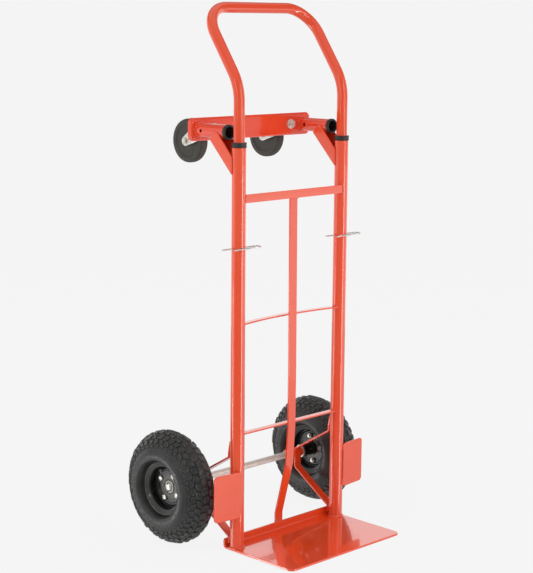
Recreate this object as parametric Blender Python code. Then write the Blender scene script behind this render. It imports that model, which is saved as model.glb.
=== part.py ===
"""Convertible hand truck: tubular back frame, toe plate, pneumatic wheels, swivel castors, lift-out handle.

Metres, +Z up. The load side faces -Y, +X is the right-hand side seen from the load side.
The origin is on the ground, midway between the two uprights.
"""
import math

import bmesh
import bpy
from mathutils import Matrix, Vector

for old in list(bpy.context.scene.objects):
    bpy.data.objects.remove(old, do_unlink=True)

MM = 0.001
GAP = 0.3 * MM  # joint gap left between touching pieces

# Uprights and handle
UPRIGHT_X = 165 * MM
UPRIGHT_R = 16 * MM
UPRIGHT_BORE_R = 14.2 * MM
UPRIGHT_TOP = 911 * MM
COLLAR_TOP = 922 * MM
COLLAR_R = 17 * MM
COLLAR_DEPTH = 22 * MM
HANDLE_R = 12.5 * MM
HANDLE_BORE_R = 11 * MM
HANDLE_FOOT = 672 * MM
HANDLE_KNEE_Z = 1044 * MM
HANDLE_KNEE_R = 110 * MM
HANDLE_SLANT = math.radians(35)
HANDLE_TOP_Z = 1211 * MM
HANDLE_CORNER_R = 70 * MM

# Spring pins
PIN_Z = 690.5 * MM
PIN_WIRE_R = 1.75 * MM
PIN_HOLE_R = 2.3 * MM

# Cross members
BAR_THICK = 4.5 * MM
BAR_FRONT_Y = -14 * MM
UPPER_BAR_Z = (790 * MM, 809 * MM)
CENTER_BAR_W = 23.5 * MM
CENTER_BAR_X = -1 * MM
STRAP_DEPTH = 16 * MM
STRAP_THICK = 3.5 * MM
LOWER_FRONT_Y = -6.2 * MM
MIDDLE_FRONT_Y = -9.2 * MM
LOWER_BAR_Z = 267.4 * MM
MIDDLE_BAR_Z = 519.5 * MM
MIDDLE_BOW = 16 * MM

# Toe plate
TOE_HALF_W = 182 * MM
TOE_FRONT_Y = -191 * MM
TOE_THICK = 5 * MM
TOE_LIP_FRONT_Y = 22 * MM
TOE_LIP_TOP = 23 * MM
TOE_CORNER_R = 15 * MM

# Running gear
AXLE_Y = 143.5 * MM
AXLE_Z = 131 * MM
AXLE_R = 8 * MM
AXLE_HALF = 244 * MM
SLEEVE_R = 12.5 * MM
SLEEVE_X = (140 * MM, 188 * MM)
WASHER_THICK = 3 * MM
BRACKET_W = 21 * MM
BRACKET_THICK = 4 * MM
WHEEL_X = 237 * MM
TYRE_R = 131 * MM
HUB_R = 17 * MM
HUB_END = 2.9 * MM  # hub's outer end from the wheel's mid-plane
BOLT_CIRCLE_R = 31 * MM
BOLT_R = 3.5 * MM
BOLT_HEAD_R = 6.4 * MM
BOLT_START = {"left": 28, "right": -10}  # degrees from +Y towards +Z, wheels at rest
GUARD_W = 75 * MM
GUARD_Z = (80 * MM, 187 * MM)
GUARD_THICK = 3 * MM
GUARD_CORNER_R = 9 * MM
GUARD_ANGLE = math.radians(5.9)

# Handle sockets and castors behind the uprights
SOCKET_Z = 942 * MM
SOCKET_R = 16 * MM
SOCKET_BORE_R = 14 * MM
SOCKET_FRONT_Y = 37 * MM
SOCKET_PIN_Y = 106 * MM
SOCKET_PIN_R = 4 * MM
BUSH_FRONT_Y = 29 * MM
PLATE_Y = 125 * MM
PLATE_HALF_W = 189.5 * MM
PLATE_Z = (917.5 * MM, 969.5 * MM)
PLATE_DEPTH = 14 * MM
PLATE_THICK = 3 * MM
GUSSET_THICK = 2.5 * MM
CASTOR_X = 123 * MM
CASTOR_Z = 944 * MM
CASTOR_TRAIL = 32 * MM
CASTOR_AXLE_Y = 204 * MM
FORK_HALF_W = 16.3 * MM
KINGPIN_R = 5 * MM

SIDES = (("left", -1), ("right", 1))
X_AXIS = Vector((1, 0, 0))
Y_AXIS = Vector((0, 1, 0))
Z_AXIS = Vector((0, 0, 1))


def material(name, colour, metallic, roughness):
    """One Principled material per sub-part."""
    mat = bpy.data.materials.new(name + "_material")
    mat.use_nodes = True
    shader = mat.node_tree.nodes["Principled BSDF"]
    shader.inputs["Base Color"].default_value = (*colour, 1)
    shader.inputs["Metallic"].default_value = metallic
    shader.inputs["Roughness"].default_value = roughness
    return mat


PAINT = ((0.75, 0.06, 0.02), 0.0, 0.35)
ZINC = ((0.62, 0.62, 0.58), 1.0, 0.35)
RUBBER = ((0.02, 0.02, 0.02), 0.0, 0.85)
BLACK_PAINT = ((0.015, 0.015, 0.015), 0.0, 0.4)
PLASTIC = ((0.02, 0.02, 0.022), 0.0, 0.5)


def body(name, verts, faces, look):
    """A closed mesh body with outward normals."""
    mesh = bpy.data.meshes.new(name)
    bm = bmesh.new()
    made = [bm.verts.new(v) for v in verts]
    for face in faces:
        bm.faces.new([made[i] for i in face])
    bmesh.ops.recalc_face_normals(bm, faces=bm.faces)
    bm.to_mesh(mesh)
    bm.free()
    obj = bpy.data.objects.new(name, mesh)
    bpy.context.scene.collection.objects.link(obj)
    if look:
        mesh.materials.append(material(name, *look))
    return obj


def skin(rings, wrap=False, caps=True):
    """Faces joining equal-length rings of vertices; wrap closes the last ring back on the first."""
    verts = [v for ring in rings for v in ring]
    n = len(rings[0])
    count = len(rings)
    faces = []
    for k in range(count if wrap else count - 1):
        a = k * n
        b = ((k + 1) % count) * n
        for i in range(n):
            j = (i + 1) % n
            faces.append((a + i, a + j, b + j, b + i))
    if caps and not wrap:
        faces.append(tuple(range(n)))
        faces.append(tuple((count - 1) * n + i for i in range(n)))
    return verts, faces


def frame_of(axis):
    """Two unit vectors square to the axis."""
    u = Z_AXIS if abs(axis.z) < 0.5 else X_AXIS
    v = axis.cross(u).normalized()
    return u, v


def ring(centre, axis, radius, along, segments, is_hex=False):
    """Circle or hexagon of points round the axis."""
    u, v = frame_of(axis)
    points = []
    for i in range(segments):
        t = 2 * math.pi * i / segments
        flat = math.cos(math.pi / 6) if is_hex and i % 2 else 1
        points.append(centre + axis * along + (u * math.cos(t) + v * math.sin(t)) * radius * flat)
    return points


def lathe(name, profile, centre, axis, segments, look):
    """Closed (radius, along) outline turned about the axis through centre."""
    verts, faces = skin([ring(centre, axis, r, a, segments) for r, a in profile], wrap=True)
    return body(name, verts, faces, look)


def stack(name, sections, centre, axis, look, segments=12, wrap=False):
    """Body of (radius, along, is_hex) sections; flat ends, or a through bore when wrapped."""
    verts, faces = skin([ring(centre, axis, r, a, segments, h) for r, a, h in sections], wrap=wrap)
    return body(name, verts, faces, look)


def sweep_rings(path, radius, segments):
    """Circular rings carried along a path without twist."""
    rings = []
    side = None
    for k, point in enumerate(path):
        before = path[max(k - 1, 0)]
        after = path[min(k + 1, len(path) - 1)]
        along = (after - before).normalized()
        if side is None:
            side = frame_of(along)[0]
        side = (side - along * side.dot(along)).normalized()
        other = along.cross(side)
        ring = []
        for i in range(segments):
            t = 2 * math.pi * i / segments
            ring.append(point + (side * math.cos(t) + other * math.sin(t)) * radius)
        rings.append(ring)
    return rings


def tube(name, path, radius, bore, segments, look):
    """Round tube along a path, open at both ends; solid rod when bore is zero."""
    outer = sweep_rings(path, radius, segments)
    if not bore:
        verts, faces = skin(outer)
        return body(name, verts, faces, look)
    inner = sweep_rings(path, bore, segments)
    verts, faces = skin(outer + inner[::-1], wrap=True)
    return body(name, verts, faces, look)


def prism(name, outline, normal_axis, low, high, look):
    """Flat outline raised between two heights along X, Y or Z."""
    def place(a, b, h):
        if normal_axis == "X":
            return Vector((h, a, b))
        if normal_axis == "Y":
            return Vector((a, h, b))
        return Vector((a, b, h))

    rings = [[place(a, b, h) for a, b in outline] for h in (low, high)]
    verts, faces = skin(rings)
    return body(name, verts, faces, look)


def rounded(path, radius, steps, closed=False):
    """The path with its inner corners replaced by arcs."""
    count = len(path)
    out = []
    for k in range(count):
        if not closed and k in (0, count - 1):
            out.append(path[k])
            continue
        here = path[k]
        a = (path[k - 1] - here).normalized()
        b = (path[(k + 1) % count] - here).normalized()
        half = a.angle(b) / 2
        reach = radius / math.tan(half)
        centre = here + (a + b).normalized() * (radius / math.sin(half))
        start = here + a * reach - centre
        end = here + b * reach - centre
        total = start.angle(end)
        for i in range(steps + 1):
            w = i / steps
            mix = (start * math.sin((1 - w) * total) + end * math.sin(w * total)) / math.sin(total)
            out.append(centre + mix)
    return out


def thick_line(path, thickness):
    """Outline of a sheet of even thickness following a 2-D path."""
    left = []
    right = []
    for k, point in enumerate(path):
        before = path[max(k - 1, 0)]
        after = path[min(k + 1, len(path) - 1)]
        a = (point - before).normalized() if k else (after - point).normalized()
        b = (after - point).normalized() if k < len(path) - 1 else a
        normal = Vector((-(a + b).y, (a + b).x)).normalized()
        shift = normal * (thickness / 2 / max(0.2, normal.dot(Vector((-a.y, a.x)))))
        left.append(point + shift)
        right.append(point - shift)
    return left + right[::-1]


def cut(target, cutter):
    """Exact difference that hides its cutter."""
    cutter.hide_render = True
    cutter.display_type = "WIRE"
    modifier = target.modifiers.new("cut", "BOOLEAN")
    modifier.operation = "DIFFERENCE"
    modifier.solver = "EXACT"
    modifier.object = cutter


def rod_cutter(name, centre, axis, radius, half, segments=16):
    """Round cutter centred on a point."""
    return tube(name, [centre - axis * half, centre + axis * half], radius, 0, segments, None)


def box_cutter(name, low, high):
    """Rectangular cutter between two corners."""
    outline = [(low[0], low[1]), (high[0], low[1]), (high[0], high[1]), (low[0], high[1])]
    return prism(name, outline, "Z", low[2], high[2], None)


def upright(label, side):
    """Round steel upright standing on the toe plate, cross-drilled for the spring pin."""
    x = side * UPRIGHT_X
    path = [Vector((x, 0, TOE_THICK + GAP)), Vector((x, 0, UPRIGHT_TOP))]
    obj = tube("upright_" + label, path, UPRIGHT_R, UPRIGHT_BORE_R, 24, PAINT)
    centre = Vector((x, 0, PIN_Z))
    cut(obj, rod_cutter("upright_pin_hole_" + label, centre, X_AXIS, PIN_HOLE_R, 20 * MM))


def collar(label, side):
    """Black plastic guide collar pressed in the top of an upright."""
    low = UPRIGHT_TOP - COLLAR_DEPTH
    bore = HANDLE_R + GAP
    spigot = UPRIGHT_BORE_R - GAP
    seat = UPRIGHT_TOP + GAP
    profile = [(bore, low), (spigot, low), (spigot, seat), (COLLAR_R, seat)]
    profile += [(COLLAR_R, COLLAR_TOP - 1.5 * MM), (COLLAR_R - 1.5 * MM, COLLAR_TOP), (bore, COLLAR_TOP)]
    lathe("collar_" + label, profile, Vector((side * UPRIGHT_X, 0, 0)), Z_AXIS, 20, PLASTIC)


def handle():
    """One bent tube: two straight legs, a knee that leans it rearward, and a rounded loop."""
    rise = HANDLE_TOP_Z - HANDLE_KNEE_Z
    top_y = rise * math.tan(HANDLE_SLANT)
    x = UPRIGHT_X
    knee_left = Vector((-x, 0, HANDLE_KNEE_Z))
    corner_left = Vector((-x, top_y, HANDLE_TOP_Z))
    mirror = Matrix.Scale(-1, 3, X_AXIS)
    half = [Vector((-x, 0, HANDLE_FOOT)), knee_left, corner_left, Vector((0, top_y, HANDLE_TOP_Z))]
    knee = rounded(half[:3], HANDLE_KNEE_R, 4)
    loop = rounded([knee[-2], corner_left, half[3]], HANDLE_CORNER_R, 6)
    left = knee[:-1] + loop[1:-1]
    path = left + [mirror @ p for p in left[::-1]]
    obj = tube("handle", path, HANDLE_R, HANDLE_BORE_R, 14, PAINT)
    for label, side in SIDES:
        low = (side * x - 20 * MM, -2.2 * MM, HANDLE_FOOT - 5 * MM)
        high = (side * x + 20 * MM, 2.2 * MM, PIN_Z + 2.4 * MM)
        cut(obj, box_cutter("handle_slot_" + label, low, high))


def spring_pin(label, side):
    """Bent wire clip: a straight leg through the tube, an eye, and a leg lying across the tube's front."""
    eye = (47 * MM, -8.5 * MM)
    points = [(-50 * MM, 0), (-16 * MM, 0), (30 * MM, 0)]
    for i in range(11):
        t = math.radians(110 - 23.5 * i)
        points.append((eye[0] + 9 * MM * math.cos(t), eye[1] + 9 * MM * math.sin(t)))
    points += [(35 * MM, -14.6 * MM), (27 * MM, -14.4 * MM), (20 * MM, -16.8 * MM), (14 * MM, -18.3 * MM)]
    points += [(-12 * MM, -18.3 * MM), (-22 * MM, -20.2 * MM), (-35 * MM, -23.5 * MM)]
    path = [Vector((side * UPRIGHT_X + a, b, PIN_Z)) for a, b in points]
    tube("spring_pin_" + label, path, PIN_WIRE_R, 0, 8, ZINC)


def trimmed_to_uprights(obj):
    """Ends shaped round the two uprights."""
    for label, side in SIDES:
        centre = Vector((side * UPRIGHT_X, 0, PIN_Z))
        cutter = rod_cutter(obj.name + "_end_" + label, centre, Z_AXIS, UPRIGHT_R + GAP, 800 * MM, 28)
        cut(obj, cutter)


def crossbars():
    """Upper bar on edge in front, bowed middle strap and straight lower strap lying flat."""
    half = UPRIGHT_X - 5 * MM
    back = BAR_FRONT_Y + BAR_THICK
    outline = [(-half, BAR_FRONT_Y), (half, BAR_FRONT_Y), (half, back), (-half, back)]
    trimmed_to_uprights(prism("upper_crossbar", outline, "Z", *UPPER_BAR_Z, PAINT))

    half = UPRIGHT_X - 11 * MM
    back = LOWER_FRONT_Y + STRAP_DEPTH
    low = LOWER_BAR_Z - STRAP_THICK / 2
    outline = [(-half, LOWER_FRONT_Y), (half, LOWER_FRONT_Y), (half, back), (-half, back)]
    trimmed_to_uprights(prism("lower_crossbar", outline, "Z", low, low + STRAP_THICK, PAINT))

    steps = 16
    stations = [half * (2 * i / steps - 1) for i in range(steps + 1)]
    front = [(x, MIDDLE_FRONT_Y + MIDDLE_BOW * (1 - (x / half) ** 2)) for x in stations]
    rear = [(x, y + STRAP_DEPTH) for x, y in front[::-1]]
    low = MIDDLE_BAR_Z - STRAP_THICK / 2
    trimmed_to_uprights(prism("middle_crossbar", front + rear, "Z", low, low + STRAP_THICK, PAINT))


def center_bar():
    """Long flat bar lapped behind the upper crossbar, kinked rearward to the back of the toe plate's lip."""
    top_y = BAR_FRONT_Y + BAR_THICK * 1.5 + GAP
    foot_y = TOE_LIP_FRONT_Y + TOE_THICK + GAP + BAR_THICK / 2
    path = [Vector((top_y, 803 * MM)), Vector((-9.6 * MM, 400 * MM)), Vector((-9 * MM, 260 * MM))]
    path += [Vector((-3 * MM, 168 * MM)), Vector((foot_y, 44 * MM)), Vector((foot_y, 10 * MM))]
    outline = [tuple(p) for p in thick_line(rounded(path, 30 * MM, 3), BAR_THICK)]
    half = CENTER_BAR_W / 2
    prism("center_bar", outline, "X", CENTER_BAR_X - half, CENTER_BAR_X + half, PAINT)


def toe_plate():
    """Flat load plate with rounded front corners and a low lip folded up behind the uprights."""
    lip_y = TOE_LIP_FRONT_Y + TOE_THICK / 2
    path = [Vector((TOE_FRONT_Y, TOE_THICK / 2)), Vector((lip_y, TOE_THICK / 2))]
    path.append(Vector((lip_y, TOE_LIP_TOP)))
    outline = [tuple(p) for p in thick_line(rounded(path, 6 * MM, 4), TOE_THICK)]
    obj = prism("toe_plate", outline, "X", -TOE_HALF_W, TOE_HALF_W, PAINT)
    for label, side in SIDES:
        r = TOE_CORNER_R
        centre = Vector((side * (TOE_HALF_W - r), TOE_FRONT_Y + r))
        far = Vector((side * (TOE_HALF_W + 2 * MM), TOE_FRONT_Y - 2 * MM))
        shape = [(far.x, far.y), (far.x, centre.y)]
        for i in range(7):
            t = math.radians(15 * i)
            shape.append((centre.x + side * r * math.cos(t), centre.y - r * math.sin(t)))
        shape.append((centre.x, far.y))
        cut(obj, prism("toe_corner_" + label, shape, "Z", -2 * MM, TOE_THICK + 2 * MM, None))


def axle_bracket(label, side):
    """Bent flat strap: tab on the upright, sloping leg, upright web at the axle, leg back to the foot."""
    back = UPRIGHT_R + GAP + BRACKET_THICK / 2
    web = AXLE_Y - SLEEVE_R - GAP - BRACKET_THICK / 2
    path = [(back, 250 * MM), (back, 214 * MM), (web, 147 * MM)]
    path += [(web, 101 * MM), (back, 28 * MM), (back, 12 * MM)]
    line = rounded([Vector(p) for p in path], 5 * MM, 2)
    outline = [tuple(p) for p in thick_line(line, BRACKET_THICK)]
    low = side * UPRIGHT_X - BRACKET_W / 2
    prism("axle_bracket_" + label, outline, "X", low, low + BRACKET_W, PAINT)


def axle_sleeve(label, side):
    """Short tube welded behind the bracket web, holding the axle."""
    centre = Vector((0, AXLE_Y, AXLE_Z))
    path = [centre + X_AXIS * side * SLEEVE_X[0], centre + X_AXIS * side * SLEEVE_X[1]]
    tube("axle_sleeve_" + label, path, SLEEVE_R, AXLE_R + GAP, 20, PAINT)


def axle():
    """Plated through-axle with chamfered ends."""
    chamfer = 1 * MM
    ends = [(AXLE_R - chamfer, -AXLE_HALF, False), (AXLE_R, -AXLE_HALF + chamfer, False)]
    ends += [(AXLE_R, AXLE_HALF - chamfer, False), (AXLE_R - chamfer, AXLE_HALF, False)]
    stack("axle", ends, Vector((0, AXLE_Y, AXLE_Z)), X_AXIS, ZINC, 20)


def wheel_guard(label, side):
    """Flat plate in front of the tyre, angled slightly rearward, outer corners rounded."""
    low, high = GUARD_Z
    corners = [Vector((0, low)), Vector((GUARD_W, low)), Vector((GUARD_W, high)), Vector((0, high))]
    outline = rounded(corners, GUARD_CORNER_R, 3, closed=True)
    start = Vector((side * (UPRIGHT_X + 5 * MM), -15.7 * MM, 0))
    along = Vector((side * math.cos(GUARD_ANGLE), math.sin(GUARD_ANGLE), 0))
    normal = Vector((side * math.sin(GUARD_ANGLE), -math.cos(GUARD_ANGLE), 0))
    rings = []
    for depth in (0, GUARD_THICK):
        rings.append([start + along * p.x + Z_AXIS * p.y + normal * depth for p in outline])
    verts, faces = skin(rings)
    body("wheel_guard_" + label, verts, faces, PAINT)


def shell(points, thickness):
    """Closed (radius, offset) outline of a pressed sheet section."""
    return [tuple(p) for p in thick_line([Vector(p) for p in points], thickness)]


def tyre_outline():
    """Closed section of a balloon tyre: narrow beads, sidewalls widest low down, rounded crown."""
    outer = [(51.2, 9), (51.2, 19.2), (61.2, 22.6), (62.2, 28), (63.4, 37), (67.4, 42.6), (74, 44.6)]
    outer += [(84, 42.6), (96, 38), (108, 31), (118.4, 22.2), (126.4, 13)]
    inner = [(122, 0), (113, 18), (98, 31), (80, 36.6), (69, 34), (60, 15)]
    right = [(r * MM, u * MM) for r, u in outer]
    left = [(r, -u) for r, u in right]
    hollow_right = [(r * MM, u * MM) for r, u in inner]
    hollow_left = [(r, -u) for r, u in hollow_right[1:]]
    return right + [(TYRE_R, 0)] + left[::-1] + hollow_left[::-1] + hollow_right


def wheel(label, side):
    """Pneumatic wheel: tyre, two bolted rim halves, hub offset inboard, four rim bolts."""
    centre = Vector((side * WHEEL_X, AXLE_Y, AXLE_Z))
    outward = X_AXIS * side
    lathe("tyre_" + label, tyre_outline(), centre, outward, 32, RUBBER)

    section = [(17.4, 1.4), (42, 1.4), (49.4, 7), (49.4, 20.8), (60.4, 25)]
    profile = shell([(r * MM, u * MM) for r, u in section], 2.4 * MM)
    for half, sign in (("outer", 1), ("inner", -1)):
        obj = lathe("rim_" + half + "_" + label, profile, centre, outward * sign, 24, BLACK_PAINT)
        for k in range(4):
            t = math.radians(BOLT_START[label] + 90 * k)
            spot = centre + (Y_AXIS * math.cos(t) + Z_AXIS * math.sin(t)) * BOLT_CIRCLE_R
            name = "rim_" + half + "_hole_" + label + "_" + str(k)
            cut(obj, rod_cutter(name, spot, X_AXIS, BOLT_R + GAP, 12 * MM, 8))

    bore = AXLE_R + GAP
    inner_end = SLEEVE_X[1] + GAP * 2 + WASHER_THICK - WHEEL_X
    outer_end = HUB_END
    step = HUB_R - 2 * MM
    profile = [(bore, inner_end), (step, inner_end), (HUB_R, inner_end + 2 * MM)]
    profile += [(HUB_R, outer_end - 1 * MM), (HUB_R - 1 * MM, outer_end), (bore, outer_end)]
    lathe("hub_" + label, profile, centre, outward, 24, BLACK_PAINT)

    for k in range(4):
        t = math.radians(BOLT_START[label] + 90 * k)
        spot = centre + (Y_AXIS * math.cos(t) + Z_AXIS * math.sin(t)) * BOLT_CIRCLE_R
        seat = 2.9 * MM
        tip = BOLT_R - 0.7 * MM
        sections = [(tip, -13 * MM, False), (BOLT_R, -12 * MM, False), (BOLT_R, -8.6 * MM, False)]
        sections += [(BOLT_HEAD_R, -8.6 * MM, True), (BOLT_HEAD_R, -seat, True), (BOLT_R, -seat, False)]
        sections += [(BOLT_R, seat, False), (BOLT_HEAD_R, seat, True), (BOLT_HEAD_R, 6.8 * MM, True)]
        sections += [(BOLT_HEAD_R - 1 * MM, 7.6 * MM, True)]
        stack("rim_bolt_" + label + "_" + str(k + 1), sections, spot, outward, ZINC)

    bore = AXLE_R + GAP
    face = SLEEVE_X[1] + GAP - WHEEL_X
    back = face + WASHER_THICK
    profile = [(bore, face), (15 * MM, face), (15 * MM, back), (bore, back)]
    lathe("axle_washer_" + label, profile, centre, outward, 20, ZINC)


def axle_cap(label, side):
    """Domed push-on cap that keeps the wheel on the axle."""
    bore = AXLE_R + GAP
    low = WHEEL_X + HUB_END + GAP
    sections = [(bore, AXLE_HALF + GAP, False), (bore, low, False), (14.2 * MM, low, False)]
    sections += [(14.2 * MM, low + 1.6 * MM, False), (12.6 * MM, low + 4 * MM, False)]
    sections += [(8.5 * MM, low + 6.8 * MM, False), (4 * MM, low + 7.8 * MM, False)]
    stack("axle_cap_" + label, sections, Vector((0, AXLE_Y, AXLE_Z)), X_AXIS * side, ZINC, 24)


def ring_outline(half_w, low, high, radius, inset):
    """Rounded rectangle in XZ, drawn inset from its full size."""
    a = half_w - inset
    z0 = low + inset
    z1 = high - inset
    corners = [Vector((-a, z0)), Vector((a, z0)), Vector((a, z1)), Vector((-a, z1))]
    return rounded(corners, radius - inset, 4, closed=True)


def castor_plate():
    """Shallow pressed tray: flat face to the front, edges folded rearward all round."""
    levels = [(3 * MM, 0), (1 * MM, 0.8 * MM), (0, 3 * MM), (0, PLATE_DEPTH), (PLATE_THICK, PLATE_DEPTH)]
    levels += [(PLATE_THICK, PLATE_THICK + 1.5 * MM), (PLATE_THICK + 1.5 * MM, PLATE_THICK)]
    rings = []
    for inset, depth in levels:
        outline = ring_outline(PLATE_HALF_W, *PLATE_Z, 12 * MM, inset)
        rings.append([Vector((p.x, PLATE_Y + depth, p.y)) for p in outline])
    verts, faces = skin(rings)
    obj = body("castor_plate", verts, faces, PAINT)
    for label, side in SIDES:
        centre = Vector((side * CASTOR_X, PLATE_Y, CASTOR_Z))
        cut(obj, rod_cutter("castor_hole_" + label, centre, Y_AXIS, KINGPIN_R + GAP, 12 * MM))


def socket(label, side):
    """Stub tube that takes a handle leg in platform mode, with its plastic mouth bush."""
    x = side * UPRIGHT_X
    centre = Vector((x, 0, SOCKET_Z))
    path = [centre + Y_AXIS * SOCKET_FRONT_Y, centre + Y_AXIS * (PLATE_Y - GAP)]
    obj = tube("socket_tube_" + label, path, SOCKET_R, SOCKET_BORE_R, 24, PAINT)
    spot = centre + Y_AXIS * SOCKET_PIN_Y
    cut(obj, rod_cutter("socket_pin_hole_" + label, spot, X_AXIS, SOCKET_PIN_R, 20 * MM))
    bore = HANDLE_R + GAP
    spigot = SOCKET_BORE_R - GAP
    seat = SOCKET_FRONT_Y - GAP
    front = BUSH_FRONT_Y
    rim = COLLAR_R
    profile = [(bore, front), (rim - 1.5 * MM, front), (rim, front + 1.5 * MM), (rim, seat), (spigot, seat)]
    profile += [(spigot, seat + 18 * MM), (bore, seat + 18 * MM)]
    lathe("socket_bush_" + label, profile, centre, Y_AXIS, 20, PLASTIC)


def gusset(label, side):
    """Folded channel brace from the socket tube down to the upright, open on its upper side."""
    x = side * UPRIGHT_X
    inner = UPRIGHT_R + GAP
    outer = inner + GUSSET_THICK
    wing = [(76 * MM, 926 * MM), (5 * MM, 852 * MM), (5 * MM, 892 * MM), (50 * MM, 941 * MM)]
    wing.append((62 * MM, 941 * MM))
    obj = prism("gusset_" + label, wing, "X", x - outer, x + outer, PAINT)
    line = [Vector(wing[0]), Vector(wing[1])]
    along = (line[0] - line[1]).normalized()
    normal = Vector((-along.y, along.x))
    shift = normal * GUSSET_THICK
    low = line[1] + shift - along * 40 * MM
    high = line[0] + shift + along * 40 * MM
    trough = [tuple(low), tuple(high), tuple(high + normal * 90 * MM), tuple(low + normal * 90 * MM)]
    cut(obj, prism("gusset_trough_" + label, trough, "X", x - inner, x + inner, None))
    post = Vector((x, 0, 880 * MM))
    cut(obj, rod_cutter("gusset_post_" + label, post, Z_AXIS, inner, 120 * MM, 28))
    arm = Vector((x, 60 * MM, SOCKET_Z))
    cut(obj, rod_cutter("gusset_arm_" + label, arm, Y_AXIS, SOCKET_R + GAP, 90 * MM, 24))


def castor(label, side):
    """Swivel castor on a kingpin: race, nut, fork, wheel and wheel bolt."""
    pivot = Vector((side * CASTOR_X, 0, CASTOR_Z))
    web_back = PLATE_Y + PLATE_THICK
    bore = KINGPIN_R + GAP
    profile = [(bore, web_back + GAP), (18 * MM, web_back + GAP), (18 * MM, 136 * MM), (20 * MM, 139.2 * MM)]
    profile += [(20 * MM, 141 * MM), (bore, 141 * MM)]
    lathe("castor_race_" + label, profile, pivot, Y_AXIS, 24, ZINC)

    crown = 141 * MM + GAP
    head = crown + 2.8 * MM
    sections = [(KINGPIN_R - 1 * MM, 113 * MM, False), (KINGPIN_R, 114 * MM, False), (KINGPIN_R, head, False)]
    sections += [(7 * MM, head, False), (7 * MM, head + 1.2 * MM, False), (5 * MM, head + 1.8 * MM, False)]
    stack("kingpin_" + label, sections, pivot, Y_AXIS, ZINC, 16)

    nut = [(bore, 116 * MM, False), (9.2 * MM, 116 * MM, True), (9.8 * MM, 116.8 * MM, True)]
    nut += [(9.8 * MM, 122.7 * MM, True), (11 * MM, 122.7 * MM, False)]
    nut += [(11 * MM, PLATE_Y - GAP, False), (bore, PLATE_Y - GAP, False)]
    stack("king_nut_" + label, nut, pivot, Y_AXIS, ZINC, wrap=True)

    fork(label, pivot, crown)

    hub = Vector((pivot.x, CASTOR_AXLE_Y, CASTOR_Z - CASTOR_TRAIL))
    bolt_bore = 4.3 * MM
    half = [(10.5, 13), (11.5, 9.6), (35, 8.6), (38, 11), (47, 10.7), (50, 6)]
    right = [(bolt_bore, 13 * MM)] + [(r * MM, u * MM) for r, u in half]
    left = [(r, -u) for r, u in right[::-1]]
    lathe("castor_wheel_" + label, right + left, hub, X_AXIS, 24, RUBBER)

    seat = FORK_HALF_W + GAP
    bolt = [(7 * MM, -seat - 4.2 * MM, True), (7 * MM, -seat, True), (4 * MM, -seat, False)]
    bolt += [(4 * MM, seat, False), (7.4 * MM, seat, True), (7.4 * MM, seat + 5.4 * MM, True)]
    bolt += [(4 * MM, seat + 5.4 * MM, False), (3.4 * MM, seat + 7.4 * MM, False)]
    stack("castor_bolt_" + label, bolt, hub, X_AXIS, ZINC)


def fork(label, pivot, crown):
    """Pressed fork: crown plate under the race and two cheeks swept back to the wheel bolt."""
    axle_y = CASTOR_AXLE_Y
    axle_z = CASTOR_Z - CASTOR_TRAIL
    outline = [(crown, 964 * MM), (crown, 921 * MM)]
    for i in range(6):
        t = math.radians(245 + 30 * i)
        outline.append((axle_y + 12 * MM * math.cos(t), axle_z + 12 * MM * math.sin(t)))
    outline.append((156 * MM, 964 * MM))
    outer = FORK_HALF_W
    inner = FORK_HALF_W - 2.8 * MM
    obj = prism("castor_fork_" + label, outline, "X", pivot.x - outer, pivot.x + outer, ZINC)
    low = (pivot.x - inner, crown + 2.5 * MM, 880 * MM)
    high = (pivot.x + inner, 240 * MM, 990 * MM)
    cut(obj, box_cutter("fork_slot_" + label, low, high))
    centre = Vector((pivot.x, crown, CASTOR_Z))
    cut(obj, rod_cutter("fork_pin_hole_" + label, centre, Y_AXIS, KINGPIN_R + GAP, 10 * MM))
    hub = Vector((pivot.x, axle_y, axle_z))
    cut(obj, rod_cutter("fork_bolt_hole_" + label, hub, X_AXIS, 4.3 * MM, 30 * MM, 12))


toe_plate()
crossbars()
center_bar()
handle()
axle()
castor_plate()
for side_label, side_sign in SIDES:
    upright(side_label, side_sign)
    collar(side_label, side_sign)
    spring_pin(side_label, side_sign)
    axle_bracket(side_label, side_sign)
    axle_sleeve(side_label, side_sign)
    wheel_guard(side_label, side_sign)
    wheel(side_label, side_sign)
    axle_cap(side_label, side_sign)
    socket(side_label, side_sign)
    gusset(side_label, side_sign)
    castor(side_label, side_sign)
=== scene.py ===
import random
from math import atan2, cos, pi, radians, sin, sqrt, tan

import bmesh
import bpy
from mathutils import Matrix, Vector


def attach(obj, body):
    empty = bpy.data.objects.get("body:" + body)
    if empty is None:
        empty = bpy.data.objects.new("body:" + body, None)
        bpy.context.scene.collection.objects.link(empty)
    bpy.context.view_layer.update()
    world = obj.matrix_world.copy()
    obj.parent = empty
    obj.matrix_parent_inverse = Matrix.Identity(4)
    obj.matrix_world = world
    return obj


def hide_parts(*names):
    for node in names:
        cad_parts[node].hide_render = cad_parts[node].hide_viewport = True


# Convertible hand truck. Lengths in this file are millimetres unless a name says otherwise.
# +Z is up, the load side faces -Y, and X = 0 is midway between the uprights.

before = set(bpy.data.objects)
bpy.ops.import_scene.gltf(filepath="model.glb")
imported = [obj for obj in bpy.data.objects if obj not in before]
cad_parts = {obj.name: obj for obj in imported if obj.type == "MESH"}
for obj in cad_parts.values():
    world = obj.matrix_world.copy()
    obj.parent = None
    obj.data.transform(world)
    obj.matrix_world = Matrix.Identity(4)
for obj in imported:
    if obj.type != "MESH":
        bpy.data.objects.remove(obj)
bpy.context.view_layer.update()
scene = bpy.context.scene

MM = 0.001
SIDES = (("left", -1), ("right", 1))
X_AXIS = Vector((1, 0, 0))
Y_AXIS = Vector((0, 1, 0))
Z_AXIS = Vector((0, 0, 1))

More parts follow.
